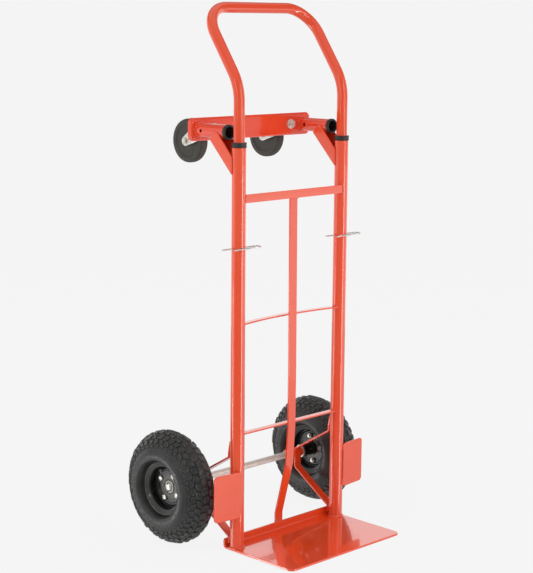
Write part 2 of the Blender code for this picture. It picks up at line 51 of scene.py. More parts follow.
# Frame
UPRIGHT_X = 165
UPRIGHT_R = 16
UPRIGHT_BORE = 14.2
UPRIGHT_TOP = 911
# Bars between the uprights: front face, depth, bow, lower level and upper level
UPPER_BAR = (-14, 4.5, 0, 790, 809)
MIDDLE_BAR = (-9.2, 16, 16, 517.75, 521.25)
LOWER_BAR = (-6.2, 16, 0, 265.65, 269.15)
# Toe plate, straps, guards and centre bar
TOE_T = 5
TOE_HALF_W = 182
TOE_CORNER_R = 15
TOE_TIP_R = 6
STRAP_T = 4
STRAP_HALF_W = 10.5
GUARD_T = 3
GUARD_TILT = radians(5.9)
SPINE_T = 4.5
# Handle and clips
HANDLE_R = 12.5
HANDLE_BORE = 11
HANDLE_FOOT = 672
HANDLE_KNEE = 1044
HANDLE_TOP = 1211
HANDLE_LEAN = radians(35)
PIN_Z = 690.5
WIRE_R = 1.75
SLOT_HALF_W = 2.3
# Wheels: radii are from the axle, offsets from the wheel's middle plane
AXLE = Vector((0, 143.5, 131))
WHEEL_X = 237
WASHER_IN = 188.3 - WHEEL_X
HUB_BORE = 8.3
HUB_END = 2.9
RIM_SHEET_T = 2.3
BOLT_CIRCLE = 31
BOLT_START = {"left": 28, "right": -10}
FLANK = [(126.9, 5), (123.8, 13), (118.6, 20.6), (111.6, 27.4), (103.6, 33.8), (95.4, 38.8), (87, 42.4)]
FLANK += [(80.6, 44.2), (74, 44.8)]
BLOCKS_PER_ROW = 40
NIBS = 90
# Sockets and castors
SOCKET_Z = 942
SOCKET_R = 16
PLATE_Y = 125
PLATE_HALF_W = 189.5
PLATE_LOW = 917.5
PLATE_HIGH = 969.5
CASTOR_X = 123
CASTOR_Z = 944
CASTOR_HUB = Vector((0, 204, 912))
KINGPIN_BORE = 5.4
FORK_CROWN = 141.3
# Studio; the camera turns by azimuth, tilt and roll in degrees
BACKDROP = 0.905
CAMERA_AZIMUTH = -135
CAMERA_AT_METRES = (-2.4734, -2.3969, 1.186)
CAMERA_TURN = (44.994, 9.892, 0.506)
CAMERA_LENS = 96.33


# -------------------- materials

def shader_graph(name):
    """A new material with its node tree and Principled shader."""
    mat = bpy.data.materials.new(name)
    mat.use_nodes = True
    tree = mat.node_tree
    return mat, tree, tree.nodes["Principled BSDF"]


def set_inputs(made, **inputs):
    """Sets a node's inputs, given by name with _ for spaces."""
    for key, value in inputs.items():
        made.inputs[key.replace("_", " ")].default_value = value
    return made


def node(tree, kind, **inputs):
    """Adds a node to a tree and sets its inputs."""
    return set_inputs(tree.nodes.new(kind), **inputs)


def noise(tree, coords, scale, detail=4.0, roughness=0.55, stretch=None):
    """Noise factor at a scale in waves per metre, optionally stretched."""
    source = coords
    if stretch:
        mapping = node(tree, "ShaderNodeMapping", Scale=stretch)
        tree.links.new(coords, mapping.inputs["Vector"])
        source = mapping.outputs["Vector"]
    tex = node(tree, "ShaderNodeTexNoise", Scale=scale, Detail=detail, Roughness=roughness)
    tree.links.new(source, tex.inputs["Vector"])
    return tex.outputs["Fac"]


def remap(tree, value, low, high, to_low, to_high):
    """Clamped linear remap of a socket."""
    levels = {"From_Min": low, "From_Max": high, "To_Min": to_low, "To_Max": to_high}
    made = node(tree, "ShaderNodeMapRange", **levels)
    tree.links.new(value, made.inputs["Value"])
    return made.outputs["Result"]


def mix(tree, factor, a, b):
    """Colour mix driven by a socket; a and b are colours or sockets."""
    made = tree.nodes.new("ShaderNodeMix")
    made.data_type = "RGBA"
    tree.links.new(factor, made.inputs["Factor"])
    for value, socket in ((a, made.inputs[6]), (b, made.inputs[7])):
        if isinstance(value, tuple):
            socket.default_value = (*value, 1)
        else:
            tree.links.new(value, socket)
    return made.outputs[2]


def tint(tree, colour, other, source, low, high, amount=1.0):
    """Brings in another colour, up to an amount, as a source rises from low to high."""
    return mix(tree, remap(tree, source, low, high, 0.0, amount), colour, other)


def surface(mat, colour, rough, heights):
    """Connects colour, roughness and bump layers of (height socket, distance in metres, strength)."""
    tree = mat.node_tree
    shader = tree.nodes["Principled BSDF"]
    tree.links.new(colour, shader.inputs["Base Color"])
    tree.links.new(rough, shader.inputs["Roughness"])
    last = None
    for height, distance, strength in heights:
        made = node(tree, "ShaderNodeBump", Distance=distance, Strength=strength)
        tree.links.new(height, made.inputs["Height"])
        if last:
            tree.links.new(last, made.inputs["Normal"])
        last = made.outputs["Normal"]
    tree.links.new(last, shader.inputs["Normal"])
    return mat


def textured(name):
    """A new material and its texture coordinates: metres in the shared frame on every piece."""
    mat, tree, shader = shader_graph(name)
    return mat, tree, shader, tree.nodes.new("ShaderNodeTexCoord").outputs["Object"]


def pointiness(tree):
    """Edge measure from the mesh's own curvature."""
    return tree.nodes.new("ShaderNodeNewGeometry").outputs["Pointiness"]


def paint(name, deep, pale, scuff=0.0, gloss=0.24, peel=0.07):
    """Stoved gloss paint: faint clouding, orange peel, paler worn edges and, where asked, scuffs."""
    mat, tree, shader, coords = textured(name)
    cloud = noise(tree, coords, 6.0, 2.0)
    fleck = noise(tree, coords, 320.0, 2.0)
    worn = tuple(min(1.0, c + 0.1) for c in pale)
    dark = tuple(c * 0.62 for c in deep)
    colour = tint(tree, deep, pale, cloud, 0.35, 0.65)
    colour = tint(tree, colour, worn, pointiness(tree), 0.52, 0.6, 0.3)
    colour = tint(tree, colour, dark, fleck, 0.78, 0.84, 0.16)
    rough = remap(tree, noise(tree, coords, 30.0, 5.0), 0.3, 0.75, gloss, gloss + 0.05)
    heights = [(noise(tree, coords, 260.0, 2.0), 0.0001, peel)]
    if scuff:
        lines = noise(tree, coords, 60.0, 6.0, 0.7, (1.2, 14.0, 14.0))
        cross = noise(tree, coords, 48.0, 6.0, 0.7, (12.0, 1.0, 12.0))
        colour = tint(tree, colour, worn, lines, 0.66, 0.74, scuff)
        colour = tint(tree, colour, dark, cross, 0.68, 0.76, scuff * 0.7)
        heights.append((lines, 0.0001, 0.012))
    set_inputs(shader, Coat_Weight=1.0, Coat_Roughness=0.025)
    return surface(mat, colour, rough, heights)


def plated(name, base, dull, grain=(1.0, 1.0, 1.0), rough=0.3):
    """Zinc-plated steel: warm grey metal with cloudy patches, fine drawn grain and dulled edges."""
    mat, tree, shader, coords = textured(name)
    cloud = noise(tree, coords, 70.0, 5.0, 0.6)
    drawn = noise(tree, coords, 240.0, 4.0, 0.6, grain)
    colour = tint(tree, base, dull, cloud, 0.35, 0.7)
    colour = tint(tree, colour, tuple(c * 0.55 for c in dull), drawn, 0.55, 0.8, 0.3)
    colour = tint(tree, colour, (0.92, 0.9, 0.86), pointiness(tree), 0.53, 0.62, 0.5)
    sheen = remap(tree, cloud, 0.3, 0.75, rough, rough + 0.2)
    set_inputs(shader, Metallic=0.82)
    return surface(mat, colour, sheen, [(drawn, 0.00012, 0.25), (cloud, 0.0003, 0.15)])


def tyre_rubber(name):
    """Carbon-black rubber: dusty paler patches, lighter scuffed block edges, pitted grain."""
    mat, tree, _, coords = textured(name)
    dust = noise(tree, coords, 26.0, 6.0, 0.62)
    grain = noise(tree, coords, 700.0, 3.0)
    colour = tint(tree, (0.021, 0.021, 0.021), (0.042, 0.041, 0.039), dust, 0.38, 0.72)
    colour = tint(tree, colour, (0.13, 0.126, 0.12), pointiness(tree), 0.545, 0.64, 0.7)
    colour = tint(tree, colour, (0.008, 0.008, 0.008), grain, 0.62, 0.75, 0.4)
    sheen = remap(tree, dust, 0.3, 0.7, 0.24, 0.46)
    pits = noise(tree, coords, 150.0, 3.0)
    return surface(mat, colour, sheen, [(grain, 0.00025, 0.45), (pits, 0.0012, 0.4)])


def castor_rubber(name):
    """Grey-black solid rubber with fine rolling scuffs and a soft sheen."""
    mat, tree, _, coords = textured(name)
    cloud = noise(tree, coords, 45.0, 6.0, 0.6)
    grain = noise(tree, coords, 520.0, 3.0)
    colour = tint(tree, (0.034, 0.032, 0.026), (0.066, 0.062, 0.052), cloud, 0.32, 0.72)
    colour = tint(tree, colour, (0.15, 0.14, 0.12), pointiness(tree), 0.52, 0.62, 0.5)
    colour = tint(tree, colour, (0.025, 0.024, 0.022), grain, 0.6, 0.78, 0.4)
    sheen = remap(tree, cloud, 0.3, 0.7, 0.45, 0.68)
    return surface(mat, colour, sheen, [(grain, 0.0002, 0.35)])


def black_gloss(name, highlight_patches=0.0):
    """Thin black enamel on pressed steel: semi-gloss, dust film, chipped and worn edges and, where asked,
    brownish-grey patches of painted highlight.
    """
    mat, tree, shader, coords = textured(name)
    film = noise(tree, coords, 55.0, 6.0, 0.6)
    colour = tint(tree, (0.006, 0.006, 0.006), (0.016, 0.015, 0.014), film, 0.4, 0.75)
    colour = tint(tree, colour, (0.17, 0.16, 0.145), pointiness(tree), 0.53, 0.6, 0.7)
    # Painted highlight: brownish-grey patches stand for the bright reflections along the rims' flange lips.
    if highlight_patches:
        patch = remap(tree, noise(tree, coords, 34.0, 4.0), 0.4, 0.56, highlight_patches * 0.3, highlight_patches)
        colour = mix(tree, patch, colour, (0.24, 0.215, 0.18))
    sheen = remap(tree, film, 0.3, 0.75, 0.16, 0.34)
    set_inputs(shader, Coat_Weight=0.4, Coat_Roughness=0.12)
    return surface(mat, colour, sheen, [(noise(tree, coords, 600.0, 2.0), 0.0001, 0.2)])


def moulded_plastic(name):
    """Black moulded plastic with a fine spark-eroded grain and faint flow clouding."""
    mat, tree, _, coords = textured(name)
    grain = noise(tree, coords, 900.0, 3.0)
    flow = noise(tree, coords, 60.0, 3.0)
    colour = tint(tree, (0.014, 0.013, 0.013), (0.032, 0.031, 0.03), flow, 0.3, 0.7)
    colour = tint(tree, colour, (0.1, 0.1, 0.1), pointiness(tree), 0.53, 0.62, 0.5)
    sheen = remap(tree, grain, 0.3, 0.7, 0.34, 0.5)
    return surface(mat, colour, sheen, [(grain, 0.00012, 0.4)])


RED_DEEP = (0.88, 0.066, 0.01)
RED_PALE = (0.89, 0.08, 0.016)
FRAME_PAINT = paint("gloss_red_frame", RED_DEEP, RED_PALE, gloss=0.2)
# Painted shade: a darker copy of the frame red for the castor plate and socket tubes, standing for the
# lesser light on them.
SHADED_TRAY_PAINT = paint("gloss_red_tray_painted_shade", (0.86, 0.044, 0.006), (0.87, 0.056, 0.01), gloss=0.16)
HANDLE_PAINT = paint("gloss_red_handle", (0.84, 0.062, 0.01), (0.85, 0.074, 0.015), gloss=0.15)
TOE_PAINT = paint("gloss_red_toe_plate", RED_DEEP, RED_PALE, scuff=0.14, gloss=0.16, peel=0.015)
ZINC = plated("zinc_plate", (0.88, 0.85, 0.78), (0.7, 0.67, 0.6))
ZINC_ROD = plated("zinc_plate_rod", (0.9, 0.87, 0.8), (0.76, 0.72, 0.65), (0.15, 3.0, 3.0), 0.36)
WIRE = plated("zinc_wire", (0.84, 0.83, 0.8), (0.66, 0.65, 0.62), (0.3, 2.0, 2.0), 0.22)
TYRE = tyre_rubber("tyre_rubber")
CASTOR_RUBBER = castor_rubber("castor_rubber")
ENAMEL = black_gloss("black_enamel")
# Rim lips: black enamel with brownish-grey painted highlight.
LIP_PAINTED_HIGHLIGHT = black_gloss("enamel_painted_highlight", 0.85)
PLASTIC = moulded_plastic("black_plastic")


# -------------------- mesh tools

def raw(name, verts, faces):
    """An undressed mesh object from millimetre points."""
    mesh = bpy.data.meshes.new(name)
    bm = bmesh.new()
    made = [bm.verts.new(v * MM) for v in verts]
    for face in faces:
        bm.faces.new([made[i] for i in face])
    bmesh.ops.recalc_face_normals(bm, faces=bm.faces)
    bm.to_mesh(mesh)
    bm.free()
    obj = bpy.data.objects.new(name, mesh)
    scene.collection.objects.link(obj)
    return obj


def skin(rings, wrap=False):
    """Points and faces joining equal rings; unwrapped ends are closed flat."""
    verts = [v for r in rings for v in r]
    n = len(rings[0])
    count = len(rings)
    faces = []
    for k in range(count if wrap else count - 1):
        a = k * n
        b = ((k + 1) % count) * n
        faces += [(a + i, a + (i + 1) % n, b + (i + 1) % n, b + i) for i in range(n)]
    if not wrap:
        faces.append(tuple(range(n)))
        faces.append(tuple((count - 1) * n + i for i in range(n)))
    return verts, faces


def join_parts(parts):
    """One vertex and face list from several."""
    verts = []
    faces = []
    for more_verts, more_faces in parts:
        base = len(verts)
        verts += more_verts
        faces += [tuple(i + base for i in f) for f in more_faces]
    return verts, faces


def square_to(axis):
    """Two unit vectors square to an axis."""
    u = Z_AXIS if abs(axis.z) < 0.5 else X_AXIS
    return u, axis.cross(u).normalized()


def ring(centre, axis, radius, count, hexagon=False):
    """Circle or hexagon of points about an axis."""
    u, v = square_to(axis)
    points = []
    for i in range(count):
        t = 2 * pi * i / count
        r = radius
        if hexagon:
            r = radius * cos(pi / 6) / cos(t % (pi / 3) - pi / 6)
        points.append(centre + (u * cos(t) + v * sin(t)) * r)
    return points


def fillet(points, radius, steps=3, closed=True):
    """Rounds the corners of a path, easing off where segments are short."""
    points = [Vector(p) for p in points]
    count = len(points)
    out = []
    for k, here in enumerate(points):
        if not closed and k in (0, count - 1):
            out.append(here)
            continue
        back = points[k - 1] - here
        on = points[(k + 1) % count] - here
        half = back.angle(on) / 2
        if half > radians(88):
            out.append(here)
            continue
        r = min(radius, 0.46 * min(back.length, on.length) * tan(half))
        reach = r / tan(half)
        a = back.normalized()
        b = on.normalized()
        centre = here + (a + b).normalized() * (r / sin(half))
        start = here + a * reach - centre
        end = here + b * reach - centre
        total = start.angle(end)
        for i in range(steps + 1):
            w = i / steps
            swing = start * sin((1 - w) * total) + end * sin(w * total)
            out.append(centre + swing / sin(total))
    return out


def spline(points, steps):
    """Smooth curve through all points."""
    ext = [points[0] * 2 - points[1], *points, points[-1] * 2 - points[-2]]
    out = []
    for k in range(1, len(ext) - 2):
        p0, p1, p2, p3 = ext[k - 1:k + 3]
        for i in range(steps):
            t = i / steps
            a = p1 * 2 + (p2 - p0) * t
            b = (p0 * 2 - p1 * 5 + p2 * 4 - p3) * t * t
            c = (p1 * 3 - p0 - p2 * 3 + p3) * t * t * t
            out.append((a + b + c) / 2)
    out.append(points[-1])
    return out


def bent_sheet(corners, radius, steps, thickness):
    """Outline of a sheet of even thickness bent along a 2-D path."""
    path = fillet(corners, radius, steps, closed=False)
    left = []
    right = []
    last = len(path) - 1
    for k, point in enumerate(path):
        a = (point - path[k - 1]).normalized() if k else (path[1] - point).normalized()
        b = (path[k + 1] - point).normalized() if k < last else a
        normal = Vector((-(a + b).y, (a + b).x)).normalized()
        shift = normal * (thickness / 2 / max(0.2, normal.dot(Vector((-a.y, a.x)))))
        left.append(point + shift)
        right.append(point - shift)
    return left + right[::-1]


def lathe(name, profile, centre, axis, count, edge):
    """Closed (radius, along) outline turned about an axis, its corners eased."""
    outline = fillet(profile, edge)
    rings = [ring(centre + axis * p.y, axis, p.x, count) for p in outline]
    return raw(name, *skin(rings, wrap=True))


def stack_parts(sections, centre, axis, count=36):
    """Solid of (radius, along) sections; a third value of True makes one a hexagon."""
    return skin([ring(centre + axis * a, axis, r, count, *six) for r, a, *six in sections])


def carry(path, radii, count):
    """Rings carried along a path without twist; one radius per point."""
    rings = []
    side = None
    for k, point in enumerate(path):
        along = (path[min(k + 1, len(path) - 1)] - path[max(k - 1, 0)]).normalized()
        if side is None:
            side = square_to(along)[0]
        side = (side - along * side.dot(along)).normalized()
        other = along.cross(side)
        turn = [2 * pi * i / count for i in range(count)]
        rings.append([point + (side * cos(t) + other * sin(t)) * radii[k] for t in turn])
    return rings


def tube(name, path, radius, bore, count=48, edge=0.5):
    """Open tube along a path with eased rims."""
    first = (path[1] - path[0]).normalized()
    last = (path[-1] - path[-2]).normalized()
    line = [path[0], path[0] + first * edge, *path[1:-1], path[-1] - last * edge, path[-1]]
    outer = [radius - edge, *[radius] * (len(line) - 2), radius - edge]
    inner = [bore + edge, *[bore] * (len(line) - 2), bore + edge]
    rings = carry(line, outer, count) + carry(line, inner, count)[::-1]
    return raw(name, *skin(rings, wrap=True))


def rod_parts(path, radius, count=16):
    """Solid wire with domed ends."""
    first = (path[1] - path[0]).normalized()
    last = (path[-1] - path[-2]).normalized()
    head = [(path[0] + first * radius * (1 - cos(t)), radius * sin(t)) for t in (0.25, 0.7, 1.2)]
    tail = [(path[-1] - last * radius * (1 - cos(t)), radius * sin(t)) for t in (1.2, 0.7, 0.25)]
    middle = [(p, radius) for p in path[1:-1]]
    line = head + middle + tail
    return skin(carry([p for p, _ in line], [r for _, r in line], count))


def prism(name, outline, axis, low, high):
    """Flat outline raised between two levels along X, Y or Z."""
    place = {"X": lambda a, b, h: Vector((h, a, b)), "Y": lambda a, b, h: Vector((a, h, b))}
    put = place.get(axis, lambda a, b, h: Vector((a, b, h)))
    return raw(name, *skin([[put(p[0], p[1], h) for p in outline] for h in (low, high)]))


def bake(obj):
    """Applies the modifiers to the mesh."""
    bpy.context.view_layer.update()
    mesh = bpy.data.meshes.new_from_object(obj.evaluated_get(bpy.context.evaluated_depsgraph_get()))
    obj.modifiers.clear()
    obj.data = mesh
    return obj


def soften(obj, width, segments=3, limit=40):
    """Rounds sharp edges."""
    modifier = obj.modifiers.new("edges", "BEVEL")
    modifier.width = width * MM
    modifier.segments = segments
    modifier.limit_method = "ANGLE"
    modifier.angle_limit = radians(limit)
    return bake(obj)


def carve(obj, *cutters):
    """Cuts the cutters out of a piece and removes them."""
    for cutter in cutters:
        modifier = obj.modifiers.new("cut", "BOOLEAN")
        modifier.operation = "DIFFERENCE"
        modifier.solver = "EXACT"
        modifier.object = cutter
    bake(obj)
    for cutter in cutters:
        bpy.data.objects.remove(cutter)
    return obj


def rod_cutter(centre, axis, radius, half, count=32):
    """Round cutter centred on a point."""
    return raw("cutter", *skin([ring(centre + axis * h, axis, radius, count) for h in (-half, half)]))


def box_cutter(low, high):
    """Rectangular cutter."""
    outline = [(low[0], low[1]), (high[0], low[1]), (high[0], high[1]), (low[0], high[1])]
    return prism("cutter", outline, "Z", low[2], high[2])


def dress(obj, body, slot, mat, *stands_for, sharp=38):
    """Material, shading, body and the CAD nodes that the piece stands for; the slot argument is not used.
    """
    obj.data.materials.clear()
    obj.data.materials.append(mat)
    obj.data.shade_smooth()
    obj.data.set_sharp_from_angle(angle=radians(sharp))
    level = obj.modifiers.new("flat_faces", "WEIGHTED_NORMAL")
    level.keep_sharp = True
    bake(obj)
    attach(obj, body)
    if stands_for:
        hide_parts(*stands_for)
    return obj


def painted(obj, *stands_for, mat=FRAME_PAINT, sharp=38):
    """Frame piece in paint."""
    return dress(obj, "frame", "frame_paint", mat, *stands_for, sharp=sharp)


def zinced(obj, body, *stands_for, mat=ZINC, sharp=38):
    """Zinc-plated piece."""
    return dress(obj, body, "zinc", mat, *stands_for, sharp=sharp)


def spoke(t):
    """Unit vector square to the axle at an angle from the rearward direction."""
    return Y_AXIS * cos(t) + Z_AXIS * sin(t)


def quarter_turn(steps, start=0):
    """Angles through 90 degrees in equal steps."""
    return [radians(90 * i / steps) for i in range(start, steps + 1)]


# -------------------- welds

weld_parts = []


def bead(path, radius, seed):
    """Run of overlapping weld ripples along a path, with a little spatter."""
    path = [Vector(p) for p in path]
    rng = random.Random(seed)
    length = sum((b - a).length for a, b in zip(path, path[1:]))
    count = max(4, int(length / 0.8))
    points = []
    for i in range(count + 1):
        want = length * i / count
        for a, b in zip(path, path[1:]):
            step = (b - a).length
            if want <= step + 1e-6:
                points.append(a.lerp(b, min(1.0, want / step)))
                break
            want -= step
    radii = []
    for i in range(len(points)):
        ripple = 0.84 + 0.26 * abs(sin(pi * i * 0.8 / 2.4))
        taper = min(1.0, 0.45 + 0.3 * min(i, len(points) - 1 - i))
        radii.append(radius * ripple * taper * rng.uniform(0.93, 1.07))
    weld_parts.append(skin(carry(points, radii, 8)))
    for _ in range(max(1, int(length / 22))):
        at = rng.choice(points) + Vector([rng.uniform(-1, 1) * radius * 1.5 for _ in range(3)])
        size = rng.uniform(0.35, 0.7)
        weld_parts.append(skin([ring(at + Z_AXIS * h * size, Z_AXIS, size * r, 6) for h, r in
                                ((-1, 0.5), (0, 1), (1, 0.5))]))


def full_circle(centre, axis, radius):
    """Points once round an axis, the last on the first."""
    u, v = square_to(axis)
    turn = [radians(7.5 * i) for i in range(49)]
    return [centre + (u * cos(t) + v * sin(t)) * radius for t in turn]


# -------------------- frame

def uprights():
    """Round uprights cross-drilled for the clips, their guide collars and foot welds."""
    for label, side in SIDES:
        x = side * UPRIGHT_X
        path = [Vector((x, 0, z)) for z in (TOE_T + 0.3, 300, 600, UPRIGHT_TOP)]
        obj = tube("post_" + label, path, UPRIGHT_R, UPRIGHT_BORE, 64)
        carve(obj, rod_cutter(Vector((x, 0, PIN_Z)), X_AXIS, 2.5, 22))
        painted(obj, "upright_" + label)
        bead(full_circle(Vector((x, 0, TOE_T + 1.2)), Z_AXIS, UPRIGHT_R + 0.8), 2.1, 10 + side)

        profile = [(12.8, 889), (13.9, 889), (13.9, 911.3), (17, 911.3), (17, 914), (16.6, 914.6)]
        profile += [(16.6, 918.6), (17, 919.2), (17, 922), (12.8, 922)]
        obj = lathe("guide_collar_" + label, profile, Vector((x, 0, 0)), Z_AXIS, 64, 0.6)
        dress(obj, "frame", "black_plastic", PLASTIC, "collar_" + label)


def end_x(y):
    """How far a member reaches at depth y before it meets an upright."""
    return UPRIGHT_X - sqrt((UPRIGHT_R + 0.2) ** 2 - y * y)


def cross_member(name, stands_for, front, depth, bow, low, high):
    """Bar between the uprights with ends shaped round them, optionally bowed rearward."""
    reach = end_x(front)
    stations = [reach * (2 * i / 48 - 1) for i in range(49)]
    lift = [bow * (1 - (x / reach) ** 2) for x in stations]
    near = [Vector((x, front + h)) for x, h in zip(stations, lift)]
    steps = [front + depth * i / 6 for i in range(1, 6)]
    right = [Vector((end_x(y), y)) for y in steps]
    far_reach = end_x(front + depth)
    far = [Vector((x / reach * far_reach, front + depth + h)) for x, h in zip(stations, lift)][::-1]
    left = [Vector((-end_x(y), y)) for y in steps[::-1]]
    obj = prism(name, near + right + far + left, "Z", low, high)
    soften(obj, 0.9, 3, 32)
    painted(obj, stands_for)


def crossbars():
    """Upper bar on edge, bowed middle strap, straight lower strap, and their welds."""
    for name, bar in (("upper", UPPER_BAR), ("middle", MIDDLE_BAR), ("lower", LOWER_BAR)):
        cross_member("bar_" + name, name + "_crossbar", *bar)
    for _, side in SIDES:
        bar_welds(side)


def bar_welds(side):
    """Beads down the upper bar's front and back and across the top and underside of each strap."""
    front, depth, _, low, high = UPPER_BAR
    back = front + depth - 0.1
    for x, y, radius, seed in ((end_x(front) + 0.4, front - 0.3, 1.9, 20), (end_x(back), back, 1.5, 24)):
        bead([(side * x, y, low + 1), (side * x, y, high - 1)], radius, seed + side)
    for (front, _, _, low, high), seed in ((LOWER_BAR, 30), (MIDDLE_BAR, 38)):
        depths = [front + y for y in (0.7, 4.2, 8.2, 12.2, 15.2)]
        for z, more in ((high + 0.35, 0), (low - 0.35, 4)):
            bead([(side * end_x(y), y, z) for y in depths], 1.5, seed + more + side)


def center_bar():
    """Long flat bar kinked rearward to the back of the toe plate's lip."""
    corners = [(-6.95, 803), (-9.6, 400), (-9, 260), (-3, 168), (29.55, 44), (29.55, 10)]
    obj = prism("spine_bar", bent_sheet(corners, 9, 6, SPINE_T), "X", -12.75, 10.75)
    soften(obj, 0.9)
    painted(obj, "center_bar")
    bead([(-12, -9.6, 789.4), (10, -9.6, 789.4)], 1.5, 51)
    bead([(-11.5, -5.6, 803.4), (9.5, -5.6, 803.4)], 1.5, 52)
    for x, seed in ((-13.2, 53), (11.2, 55)):
        bead([(x, -9.2, 787.6), (x, -9.0, 801)], 1.6, seed)
    bead([(-12, 27.2, 23.2), (10, 27.2, 23.2)], 1.8, 54)


def toe_plate():
    """Load plate with rounded front corners and a rear lip on a bend."""
    section = bent_sheet([(-191, 2.5), (24.5, 2.5), (24.5, 23)], 6, 8, TOE_T)
    obj = prism("load_plate", section, "X", -TOE_HALF_W, TOE_HALF_W)
    cutters = []
    for _, side in SIDES:
        centre = Vector((side * (TOE_HALF_W - TOE_CORNER_R), -176))
        shape = [(side * 190, -200), (side * 190, centre.y)]
        for t in quarter_turn(16):
            x = centre.x + side * TOE_CORNER_R * cos(t)
            shape.append((x, centre.y - TOE_CORNER_R * sin(t)))
        shape.append((centre.x, -200))
        cutters.append(prism("cutter", shape, "Z", -3, 8))
        tip_x = TOE_HALF_W - TOE_TIP_R
        tip = [(side * (TOE_HALF_W + 0.01), 17)]
        for t in quarter_turn(8):
            tip.append((side * (tip_x + TOE_TIP_R * cos(t)), 17 + TOE_TIP_R * sin(t)))
        tip += [(side * tip_x, 30), (side * 190, 30), (side * 190, 17)]
        cutters.append(prism("cutter", tip, "Y", 18, 32))
    carve(obj, *cutters)
    soften(obj, 0.9)
    painted(obj, "toe_plate", mat=TOE_PAINT)


def axle_strap(label, side):
    """Bent strap bracket nipped at its top foot, and its welds."""
    low = side * UPRIGHT_X - STRAP_HALF_W
    corners = [(18.3, 250), (18.3, 214), (128.7, 147), (128.7, 101), (18.3, 28), (18.3, 12)]
    section = bent_sheet(corners, 6, 6, STRAP_T)
    obj = prism("axle_strap_" + label, section, "X", low, low + 2 * STRAP_HALF_W)
    nips = []
    for edge in (-1, 1):
        x = side * UPRIGHT_X + edge * STRAP_HALF_W
        nip = [(x - edge * 6, 255), (x + edge * 3, 255), (x + edge * 3, 222), (x, 222)]
        nips.append(prism("cutter", nip, "Y", 10, 26))
    carve(obj, *nips)
    soften(obj, 0.8)
    painted(obj, "axle_bracket_" + label)
    for off, seed in ((-7.5, 60), (7.5, 64)):
        x = side * UPRIGHT_X + off
        bead([(x, 15.6, 216), (x - off * 0.45, 15.9, 247)], 1.8, seed + side)
        bead([(x, 15.3, 14), (x, 15.3, 30)], 1.6, seed + 8 + side)


def axle_sleeve(label, side):
    """Sleeve the axle passes through, welded to its strap."""
    ends = [AXLE + X_AXIS * side * 140, AXLE + X_AXIS * side * 164, AXLE + X_AXIS * side * 188]
    obj = tube("axle_tube_" + label, ends, 12.5, HUB_BORE, 48, 0.6)
    painted(obj, "axle_sleeve_" + label)
    for z, seed in ((8.4, 76), (-8.4, 80)):
        x = side * UPRIGHT_X
        level = AXLE.z + z
        bead([(x - 9.5, 132.1, level), (x + 9.5, 132.1, level)], 2.0, seed + side)


def tyre_guard(label, side):
    """Flat plate ahead of the tyre, leaning rearward as it goes out, and its welds."""
    outline = fillet([(0, 80), (75, 80), (75, 187), (0, 187)], 9, 8)
    along = Vector((side * cos(GUARD_TILT), sin(GUARD_TILT), 0))
    normal = Vector((side * sin(GUARD_TILT), -cos(GUARD_TILT), 0))
    start = Vector((side * (UPRIGHT_X + 5), -15.7, 0))
    rings = [[start + along * p.x + Z_AXIS * p.y + normal * d for p in outline] for d in (0, GUARD_T)]
    obj = raw("tyre_guard_" + label, *skin(rings))
    soften(obj, 0.9)
    painted(obj, "wheel_guard_" + label)
    for z0, z1, seed in ((84, 99, 84), (168, 184, 88)):
        at = start + along * 0.4 + normal * 0.2
        bead([at + Z_AXIS * z0, at + Z_AXIS * z1], 1.9, seed + side)
    outboard = Vector((side * (UPRIGHT_X + 8.5), -13.6, 0))
    bead([outboard + Z_AXIS * 88, outboard + Z_AXIS * 178], 1.2, 92 + side)


def running_gear():
    """Strap, sleeve and tyre guard on each side, and the axle."""
    for label, side in SIDES:
        axle_strap(label, side)
        axle_sleeve(label, side)
        tyre_guard(label, side)
    ends = [(6.6, -244), (8, -242.6), (8, 242.6), (6.6, 244)]
    rings = [ring(AXLE + X_AXIS * a, X_AXIS, r, 48) for r, a in ends]
    zinced(raw("axle_rod", *skin(rings)), "frame", "axle", mat=ZINC_ROD)


def castor_plate():
    """Pressed tray: flat face, rolled edges folded rearward, rounded corners."""
    def outline(inset):
        a = PLATE_HALF_W - inset
        low = PLATE_LOW + inset
        high = PLATE_HIGH - inset
        return fillet([(-a, low), (a, low), (a, high), (-a, high)], 12 - inset, 8)

    levels = [(4.5 * (1 - sin(t)), 4.5 * (1 - cos(t))) for t in quarter_turn(6)]
    levels += [(0, 13.4), (0.6, 14), (2.4, 14), (3, 13.4), (3, 5)]
    levels += [(3 + 1.8 * (1 - cos(t)), 4.8 - 1.8 * sin(t)) for t in quarter_turn(4, 1)]
    rings = [[Vector((p.x, PLATE_Y + d, p.y)) for p in outline(inset)] for inset, d in levels]
    obj = raw("castor_tray", *skin(rings))
    spots = [Vector((side * CASTOR_X, PLATE_Y, CASTOR_Z)) for _, side in SIDES]
    carve(obj, *[rod_cutter(spot, Y_AXIS, KINGPIN_BORE, 12) for spot in spots])
    # The plate's darker red is painted shade.
    painted(obj, "castor_plate", mat=SHADED_TRAY_PAINT, sharp=34)


def sockets():
    """Stub tubes behind the uprights, their mouth bushes and folded channel braces."""
    for label, side in SIDES:
        x = side * UPRIGHT_X
        centre = Vector((x, 0, SOCKET_Z))
        path = [centre + Y_AXIS * y for y in (37, 84, 124.7)]
        obj = tube("socket_" + label, path, SOCKET_R, 14, 64)
        carve(obj, rod_cutter(centre + Y_AXIS * 106, X_AXIS, 4, 22))
        # The socket tube's darker red is painted shade.
        painted(obj, "socket_tube_" + label, mat=SHADED_TRAY_PAINT)
        bead(full_circle(centre + Y_AXIS * 124, Y_AXIS, 16.6), 1.9, 100 + side)

        profile = [(12.8, 29), (16.2, 29), (17, 30.2), (17, 36.7), (13.7, 36.7), (13.7, 54.7), (12.8, 54.7)]
        obj = lathe("socket_mouth_" + label, profile, centre, Y_AXIS, 64, 0.6)
        dress(obj, "frame", "black_plastic", PLASTIC, "socket_bush_" + label)
        gusset(label, side)


